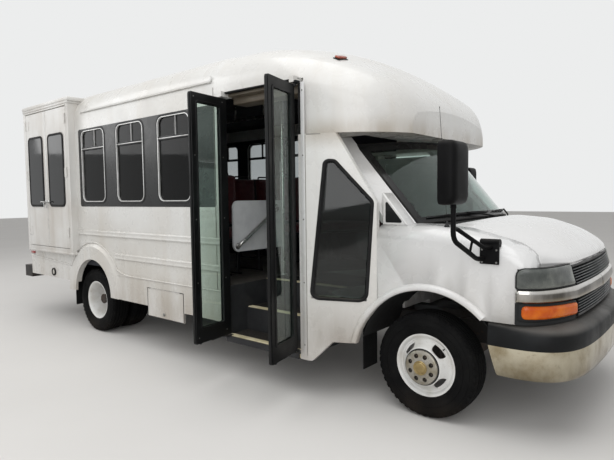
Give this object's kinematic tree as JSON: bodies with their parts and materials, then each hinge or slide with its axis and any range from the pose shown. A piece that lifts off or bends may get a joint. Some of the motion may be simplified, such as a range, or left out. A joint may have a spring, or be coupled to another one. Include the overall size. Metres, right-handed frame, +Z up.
{
  "type": "wheelchair-lift minibus",
  "caption": "Small passenger bus on a van cab, with open folding entry doors, a side lift door, twin rear wheels and a moulded front cap over the cab.",
  "frame": {"origin": "on the ground, on the centreline, midway between the front and rear axles", "axes": "+X to the front, +Y to the left, +Z up"},
  "size_m": [6.8438, 3.121, 2.8599],
  "materials": {
    "white_paint": "gloss",
    "frame_black": "satin",
    "cast": "rough",
    "rubber": "matt",
    "tyre": "matt",
    "wheel_white": "satin",
    "dark_glass": "tinted",
    "clear_glass": "tinted green",
    "black_frame": "black anodised",
    "black_plastic": "grained",
    "bright": "bright, a little dull",
    "lamp": "clouded lens",
    "red_lens": "lens",
    "floor_cover": "ribbed",
    "grey_panel": "satin",
    "seat_cloth": "woven",
    "dash_grey": "grained",
    "steel": "dull"
  },
  "bodies": {
    "root": {"chassis_frame": "frame_black", "front_suspension": "cast", "rear_axle": "cast", "leaf_springs": "frame_black", "engine_block": "cast", "drive_shaft": "frame_black", "fuel_tank": "steel", "exhaust": "steel", "saloon_floor": "floor_cover", "step_well": "floor_cover", "wheel_housings": "floor_cover", "right_wall": "white_paint", "left_wall": "white_paint", "rear_wall": "white_paint", "saloon_windows": "dark_glass", "roof": "white_paint", "lift_housing": "white_paint", "front_cap": "white_paint", "transition_right": "white_paint", "transition_window": "dark_glass", "transition_left": "white_paint", "cab_shell": "white_paint", "windscreen": "clear_glass", "fenders": "white_paint", "front_lamps": "lamp", "grille": "bright", "front_bumper": "bright", "bumper_pad": "black_plastic", "mirror_right": "black_plastic", "mud_flaps": "rubber", "rear_bumper": "frame_black", "modesty_panel": "grey_panel", "seats": "seat_cloth", "dashboard": "dash_grey", "tail_lamps": "red_lens"},
    "hood": {"hood": "white_paint"},
    "driver_door": {"driver_door": "white_paint", "mirror_left": "black_plastic"},
    "entry_leaf_front": {"entry_leaf_front": "black_frame"},
    "entry_leaf_rear": {"entry_leaf_rear": "black_frame"},
    "lift_leaf_front": {"lift_leaf_front": "white_paint"},
    "lift_leaf_rear": {"lift_leaf_rear": "white_paint"},
    "skirt_door": {"skirt_door": "white_paint"},
    "knuckle_right": {"knuckle_right": "cast"},
    "knuckle_left": {"knuckle_left": "cast"},
    "wheel_front_right": {"tyre_front_right": "tyre", "rim_front_right": "wheel_white"},
    "wheels_rear_right": {"tyres_rear_right": "tyre", "rims_rear_right": "wheel_white"},
    "wheel_front_left": {"tyre_front_left": "tyre", "rim_front_left": "wheel_white"},
    "wheels_rear_left": {"tyres_rear_left": "tyre", "rims_rear_left": "wheel_white"}
  },
  "joints": [
    {"name": "steer_right", "type": "hinge", "parent": "root", "child": "knuckle_right", "pos_m": [2.0195, -0.79, 0.365], "axis": [0, 0, 1], "range_deg": [-32, 32]},
    {"name": "roll_front_right", "type": "hinge", "parent": "knuckle_right", "child": "wheel_front_right", "pos_m": [2.0195, -0.868, 0.365], "axis": [0, 1, 0], "continuous": true},
    {"name": "roll_rear_right", "type": "hinge", "parent": "root", "child": "wheels_rear_right", "pos_m": [-2.0195, -0.917, 0.365], "axis": [0, 1, 0], "continuous": true},
    {"name": "steer_left", "type": "hinge", "parent": "root", "child": "knuckle_left", "pos_m": [2.0195, 0.79, 0.365], "axis": [0, 0, 1], "range_deg": [-32, 32]},
    {"name": "roll_front_left", "type": "hinge", "parent": "knuckle_left", "child": "wheel_front_left", "pos_m": [2.0195, 0.868, 0.365], "axis": [0, 1, 0], "continuous": true},
    {"name": "roll_rear_left", "type": "hinge", "parent": "root", "child": "wheels_rear_left", "pos_m": [-2.0195, 0.917, 0.365], "axis": [0, 1, 0], "continuous": true},
    {"name": "hood_lift", "type": "hinge", "parent": "root", "child": "hood", "pos_m": [2.128, 0, 1.282], "axis": [0, -1, 0], "range_deg": [0, 45]},
    {"name": "driver_door_swing", "type": "hinge", "parent": "root", "child": "driver_door", "pos_m": [1.661, 1, 1.2], "axis": [0, 0, -1], "range_deg": [0, 65]},
    {"name": "entry_front_swing", "type": "hinge", "parent": "root", "child": "entry_leaf_front", "pos_m": [1.12, -1.242, 1.36], "axis": [0, 0, 1], "range_deg": [-104, 0]},
    {"name": "entry_rear_swing", "type": "hinge", "parent": "root", "child": "entry_leaf_rear", "pos_m": [0.32, -1.242, 1.36], "axis": [0, 0, 1], "range_deg": [0, 83]},
    {"name": "lift_front_swing", "type": "hinge", "parent": "root", "child": "lift_leaf_front", "pos_m": [-2.307, -1.308, 1.78], "axis": [0, 0, 1], "range_deg": [0, 170]},
    {"name": "lift_rear_swing", "type": "hinge", "parent": "root", "child": "lift_leaf_rear", "pos_m": [-3.363, -1.308, 1.78], "axis": [0, 0, -1], "range_deg": [0, 170]},
    {"name": "skirt_door_swing", "type": "hinge", "parent": "root", "child": "skirt_door", "pos_m": [-0.585, -1.222, 0.637], "axis": [-1, 0, 0], "range_deg": [0, 90]}
  ],
  "couplings": [
    {"joint": "steer_left", "follows": "steer_right", "ratio": 1},
    {"joint": "entry_rear_swing", "follows": "entry_front_swing", "ratio": -0.79808}
  ]
}
